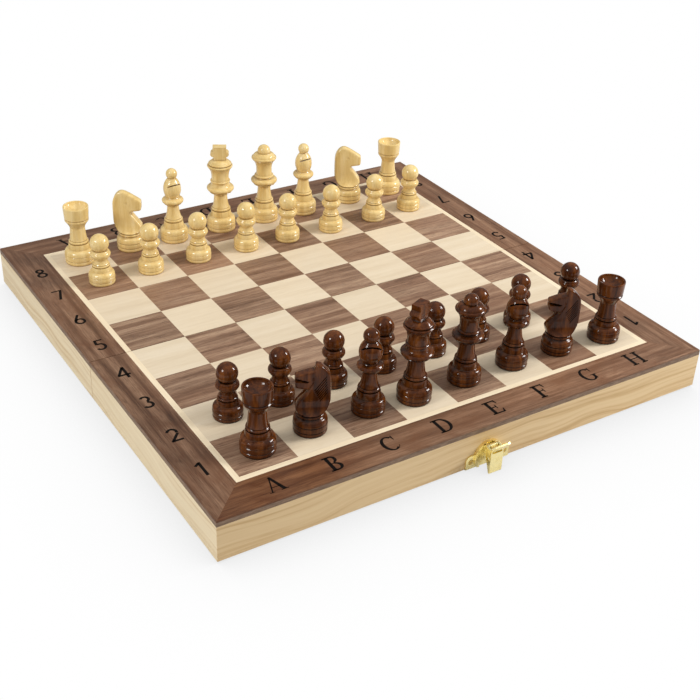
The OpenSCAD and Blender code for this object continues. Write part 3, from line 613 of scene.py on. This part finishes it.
# how far in from its outline the head is rounded, and how deep: the front and the mane of a
# grooved head, and a plain head
MANE_FRONT = -3
EDGE_FRONT, EDGE_MANE, EDGE_PLAIN = (0.5, 0.35), (0.9, 0.9), (1.3, 0.9)
# the mane's uppermost groove and its lowest; the others lie evenly between them
GROOVES = 7
GROOVE_FIRST = ((-7.2, 20.0), (-1.3, 12.2))
GROOVE_LAST = ((-7.7, 11.8), (-4.1, 6.4))
GROOVE_HALF, GROOVE_RIDGE, GROOVE_DEEP = 0.21, 0.44, 0.7
MOUTH = ((7.9, 17.6), (1.7, 16.9))
MOUTH_HALF, MOUTH_OPEN, MOUTH_DEEP = 0.35, 0.75, 1.7   # half its width, how much more at the lips, depth
JAW = ((1.3, 12.4), (-1.0, 16.6))
JAW_HALF, JAW_DEEP = 0.5, 0.3
EYE = (-0.9, 18.4)
EYE_R, EYE_DEEP = 0.8, 0.4
PUPIL_R, PUPIL_HIGH = 0.35, 0.3
# the mesh: steps along the outline, the grooves and the cuts, rows inside the edge, and the rest
OUTLINE_STEP, GROOVE_STEP, CUT_STEP, GRID_STEP = 0.5, 0.4, 0.35, 0.5
EDGE_ROWS = (0.15, 0.4, 0.8, 1.25)
CUT_ROWS = (-1.0, -0.7, -0.4, -0.2, 0, 0.2, 0.4, 0.7, 1.0)
GROOVE_CLEAR = 0.62                                # other points keep this far off a groove
NEAR_EDGE = 0.1
KNIGHT_BASE = 11.6
FOOT_R = 8.5
KNIGHT_TURN = {"dark": 26, "light": 30}            # degrees, clockwise from above
# how far each stands off the middle of its square, in hundredths of a square
KNIGHT_PLACE = {"dark_knight_b": (2, 4), "dark_knight_g": (0, 1), "light_knight_b": (4, 12),
                "light_knight_g": (6, 5)}
CRISP_ANGLE = 35                                   # degrees: a sharper edge shows as an edge


def smooth_line(points, step):
    """A rounded, evenly divided line through points (Catmull-Rom), corners kept at both ends."""
    dense = []
    for k in range(len(points) - 1):
        p0 = points[max(k - 1, 0)]
        p1, p2 = points[k], points[k + 1]
        p3 = points[min(k + 2, len(points) - 1)]
        pieces = max(1, round(math.dist(p1, p2) / step))
        for n in range(pieces):
            t = n / pieces
            dense.append(tuple(0.5 * (2 * b + (c - a) * t + (2 * a - 5 * b + 4 * c - d) * t * t
                                      + (3 * b - a - 3 * c + d) * t ** 3)
                               for a, b, c, d in zip(p0, p1, p2, p3)))
    dense.append(points[-1])
    return dense


def segment_distance(point, a, b):
    """How far a point lies from a segment, and how far along it, from 0 to 1."""
    dx, dy = b[0] - a[0], b[1] - a[1]
    t = ((point[0] - a[0]) * dx + (point[1] - a[1]) * dy) / max(dx * dx + dy * dy, 1e-12)
    t = max(0, min(1, t))
    return math.hypot(point[0] - a[0] - t * dx, point[1] - a[1] - t * dy), t


def edge_distance(point, loop):
    return min(segment_distance(point, loop[k], loop[k + 1])[0] for k in range(len(loop) - 1))


def within(point, loop):
    """Whether a point is inside an outline, by the edges that a level line crosses."""
    inside = False
    for k in range(len(loop)):
        (ax, ay), (bx, by) = loop[k - 1], loop[k]
        if (ay > point[1]) != (by > point[1]):
            if point[0] < ax + (point[1] - ay) / (by - ay) * (bx - ax):
                inside = not inside
    return inside


def between(a, b, share):
    return tuple(u + (v - u) * share for u, v in zip(a, b))


def beside(a, b, at, offsets):
    """Points abreast of the place at, at offsets across the way from a to b."""
    length = math.dist(a, b)
    nx, ny = (b[1] - a[1]) / length, -(b[0] - a[0]) / length
    return [(at[0] + nx * off, at[1] + ny * off) for off in offsets]


def rounded(share):
    """How far a quarter circle has dropped at a share of its radius."""
    return 1 - math.sqrt(max(0, 1 - share * share))


def head_half(point, distance, lines):
    """Half of the head's thickness at a point at this distance from its outline."""
    x, z = point
    reach = BLANK_R + BLANK_SPREAD * min(1, z / BLANK_TOP) ** 0.6
    blank = math.sqrt(max(reach * reach - x * x, 0.6))
    flat = FLAT_HALF - FLAT_THINNER * max(0, (z - THINNER_FROM) / THINNER_RISE) ** 1.4
    flat += RUN_OUT * rounded(max(0, 1 - z / RUN_OUT_TOP))
    if z > MUZZLE_LOW:
        flat -= MUZZLE_THINNER * max(0, min(1, (x - MUZZLE_BACK) / MUZZLE_LONG))
    half = min(blank, flat)
    soft, deep = (EDGE_FRONT if x > MANE_FRONT else EDGE_MANE) if lines else EDGE_PLAIN
    if distance < soft:
        half -= deep * rounded(1 - distance / soft)
    for a, b in lines:
        off, t = segment_distance(point, a, b)
        if off < GROOVE_HALF:
            half -= GROOVE_DEEP * (1 - off / GROOVE_HALF) * min(1, 9 * t + 0.1, 9 * (1 - t) + 0.1)
    if lines:
        off, t = segment_distance(point, *MOUTH)
        wide = MOUTH_HALF + MOUTH_OPEN * (1 - t)
        if off < wide:
            half -= MOUTH_DEEP * (1 - off / wide) ** 0.7
        off, t = segment_distance(point, *JAW)
        if off < JAW_HALF:
            half -= JAW_DEEP * (1 - off / JAW_HALF)
    off = math.dist(point, EYE)
    if off < EYE_R:
        half -= EYE_DEEP * (1 - (off / EYE_R) ** 2)
    if off < PUPIL_R:
        half += PUPIL_HIGH * (1 - (off / PUPIL_R) ** 2)
    return max(half, HALF_LEAST)


def groove_points(a, b):
    """Points on a groove's bottom, edges and ridges, the last two one step past its ends."""
    steps = round(math.dist(a, b) / GROOVE_STEP)
    sides = (-GROOVE_HALF, GROOVE_HALF, -GROOVE_RIDGE, GROOVE_RIDGE)
    points = []
    for k in range(-1, steps + 2):
        points += beside(a, b, between(a, b, k / steps), (0,) + sides if 0 <= k <= steps else sides)
    return points


def cut_points(a, b):
    """Rows of points along a wider cut."""
    steps = round(math.dist(a, b) / CUT_STEP)
    return [p for k in range(steps + 1) for p in beside(a, b, between(a, b, k / steps), CUT_ROWS)]


def edge_points(loop):
    """Rows of points just inside an outline."""
    return [beside(loop[k - 1], loop[k + 1], loop[k], (depth,))[0]
            for depth in EDGE_ROWS for k in range(1, len(loop) - 1)]


def head_points(loop, lines):
    """Points inside a head's outline, close together where it is carved."""
    carved = [p for a, b in lines for p in groove_points(a, b)]
    others = edge_points(loop) + cut_points(*MOUTH) + cut_points(*JAW)
    others += [(k * GRID_STEP - 10, n * GRID_STEP) for k in range(37) for n in range(52)]
    kept, taken = [], set()
    for points, cell, clear in ((carved, 0.1, 0), (others, 0.13, GROOVE_CLEAR)):
        for point in points:
            key = (cell, round(point[0] / cell), round(point[1] / cell))
            if key in taken or not within(point, loop) or edge_distance(point, loop) < NEAR_EDGE:
                continue
            if clear and any(segment_distance(point, a, b)[0] < clear for a, b in lines):
                continue
            taken.add(key)
            kept.append(point)
    return kept


def knight_head(outline, grooved):
    """Points and faces of a carved head, muzzle towards +X."""
    loop = smooth_line(outline, OUTLINE_STEP)
    shares = [k / (GROOVES - 1) for k in range(GROOVES)] if grooved else []
    lines = [(between(GROOVE_FIRST[0], GROOVE_LAST[0], share),
              between(GROOVE_FIRST[1], GROOVE_LAST[1], share)) for share in shares]
    count = len(loop)
    edges = [(k, (k + 1) % count) for k in range(count)]
    flat = [Vector(p) for p in loop + head_points(loop, lines)]
    found, _, triangles, origins, *_ = delaunay_2d_cdt(flat, edges, [list(range(count))], 1, 1e-6)
    points, at, rim = [], {}, {}
    for side in (-1, 1):
        for k, p in enumerate(found):
            at[(side, k)] = len(points)
            on_rim = [n for n in origins[k] if n < count]
            for n in on_rim:
                rim[(side, n)] = len(points)
            half = head_half((p.x, p.y), 0.0 if on_rim else edge_distance(p, loop), lines)
            points.append((p.x, side * half, p.y))
    faces = [tuple(at[(side, k)] for k in (face if side < 0 else face[::-1]))
             for side in (-1, 1) for face in triangles]
    for k in range(count):
        n = (k + 1) % count
        faces.append((rim[(-1, k)], rim[(-1, n)], rim[(1, n)], rim[(1, k)]))
    return points, faces


def turned(profile, steps=48):
    """A solid of revolution about Z, from (radius, height)."""
    angles = [2 * math.pi * k / steps for k in range(steps)]
    points = [(r * math.cos(t), r * math.sin(t), z) for r, z in profile for t in angles]
    faces = []
    for row in range(len(profile) - 1):
        for k in range(steps):
            n = (k + 1) % steps
            faces.append((row * steps + k, row * steps + n, (row + 1) * steps + n, (row + 1) * steps + k))
    faces.append(tuple(range(steps))[::-1])
    faces.append(tuple((len(profile) - 1) * steps + k for k in range(steps)))
    return points, faces


def bow(a, m, b, steps):
    """Points of a bent line from a towards m to b."""
    return [tuple((1 - t) ** 2 * p + 2 * t * (1 - t) * q + t * t * r for p, q, r in zip(a, m, b))
            for t in (k / steps for k in range(steps + 1))]


def knight_foot():
    """The turned foot's profile: two bands, a bulb and a bead."""
    shares = [(0.94, 0)] + bow((0.965, 0.025), (1.0, 0.08), (0.975, 0.18), 7) + [(0.925, 0.205)]
    shares += bow((0.98, 0.225), (1.01, 0.33), (0.99, 0.43), 7) + [(0.94, 0.455)]
    shares += bow((0.985, 0.48), (0.985, 0.69), (0.82, 0.745), 12) + [(0.76, 0.78)]
    foot_mm = [(FOOT_R * r, KNIGHT_BASE * z) for r, z in shares]
    bead = KNIGHT_BASE * 0.07
    foot_mm += [(FOOT_R * 0.83 - bead + bead * math.cos(t), KNIGHT_BASE * 0.88 + bead * math.sin(t))
                for t in (math.radians(-90 + 22.5 * k) for k in range(9))]
    return foot_mm + [(FOOT_R * 0.78, KNIGHT_BASE), (FOOT_R * 0.3, KNIGHT_BASE + 0.1)]


HEADS = {"dark": knight_head(NECK + EARED + MUZZLE, True),
         "light": knight_head(NECK + SMOOTH + MUZZLE, False)}
FOOT = turned(knight_foot())


def knight_piece(name, colour, off):
    """A whole knight, its head on its foot, on its square and turned as it stands."""
    way = -1 if colour == "dark" else 1
    middle_x = (FILES.index(name[-1]) - 3.5 + off[0] / 100) * SQUARE
    middle_y = (way * 3.5 + off[1] / 100) * SQUARE
    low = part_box(name)[0].z
    turn = math.radians(KNIGHT_TURN[colour])
    ahead = (way * math.cos(turn), -way * math.sin(turn))
    points = [(middle_x + (ahead[0] * x - ahead[1] * y) * MM, middle_y + (ahead[1] * x + ahead[0] * y) * MM,
               low + (KNIGHT_BASE + z) * MM) for x, y, z in HEADS[colour][0]]
    faces = HEADS[colour][1] + [tuple(len(points) + k for k in face) for face in FOOT[1]]
    points += [(middle_x + x * MM, middle_y + y * MM, low + z * MM) for x, y, z in FOOT[0]]
    return mesh_piece(name + "_carved", points, faces, MAN[colour], BODY_OF[name], True)


for name, off in KNIGHT_PLACE.items():
    colour = name.split("_")[0]
    piece = knight_piece(name, colour, off)
    crisp = piece.modifiers.new("crisp", "EDGE_SPLIT")
    crisp.split_angle = math.radians(CRISP_ANGLE)
    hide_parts(name)

# ---- floor, world and lamps ----
FLOOR_SIZE = 8
SHADE_REACH = 0.07               # how near the floor something has to be to shade it
SHADE_AIR = (0.35, 0.95)         # open air where the shade is deepest, and where it ends
SHADE_DEEPEST = 0.80
SKY_LOW, SKY_HIGH = 0.12, 0.72   # the studio's light from the horizon and from overhead

bpy.ops.mesh.primitive_plane_add(size=FLOOR_SIZE)
floor = bpy.context.object
floor.name = "floor"
white = Paint("floor_white", Roughness=0.9, Specular_IOR_Level=0.0)
white.shader.inputs["Base Color"].default_value = lin(214, 214, 214)
# Camera and shadow rays pass through the floor to the white world, and so does all that comes
# from below, so that the lid stays in sight, and lit, when it folds down past the floor. What
# the camera sees is shaded softly where something stands close above.
path = white.add("ShaderNodeLightPath").outputs
below = white.add("ShaderNodeNewGeometry").outputs["Backfacing"]
through = white.maths("MAXIMUM", below, path["Is Shadow Ray"])
seen = white.maths("MAXIMUM", path["Is Camera Ray"], through)
ao_for_painted_shade = white.add("ShaderNodeAmbientOcclusion", {"Distance": SHADE_REACH}, samples=8).outputs["AO"]
shade = white.maths("MAXIMUM", white.level(ao_for_painted_shade, *SHADE_AIR, SHADE_DEEPEST, 1.0), through)
clear = white.add("ShaderNodeBsdfTransparent", {"Color": white.join(shade, shade, shade)})
both = white.add("ShaderNodeMixShader", {0: seen, 1: white.shader.outputs[0], 2: clear.outputs[0]})
white.tree.links.new(both.outputs[0], white.tree.nodes["Material Output"].inputs[0])
floor.data.materials.append(white.material)

# the world: a soft bright ceiling and dimmer walls, white where the camera sees them
world = bpy.data.worlds.new("studio")
bpy.context.scene.world = world
world.use_nodes = True
sky = Nodes(world.node_tree)
up = sky.split(sky.add("ShaderNodeTexCoord").outputs["Generated"])[2]
light = sky.maths("MAXIMUM", sky.level(up, 0.0, 1.0, SKY_LOW, SKY_HIGH),
                  sky.add("ShaderNodeLightPath").outputs["Is Camera Ray"])
back = sky.tree.nodes["Background"]
back.inputs[0].default_value = (1, 1, 1, 1)
sky.tree.links.new(light, back.inputs[1])


def lamp(name, at, size, power):
    """A square lamp that faces the board's middle."""
    light = bpy.data.objects.new(name, bpy.data.lights.new(name, "AREA"))
    bpy.context.collection.objects.link(light)
    light.data.size = size
    light.data.energy = power
    light.location = at
    light.rotation_euler = Vector(at).to_track_quat("Z", "Y").to_euler()


lamp("key", (0.77, -0.34, 0.53), 0.28, 7.8)
lamp("fill", (-0.81, -0.12, 0.57), 0.24, 3.9)
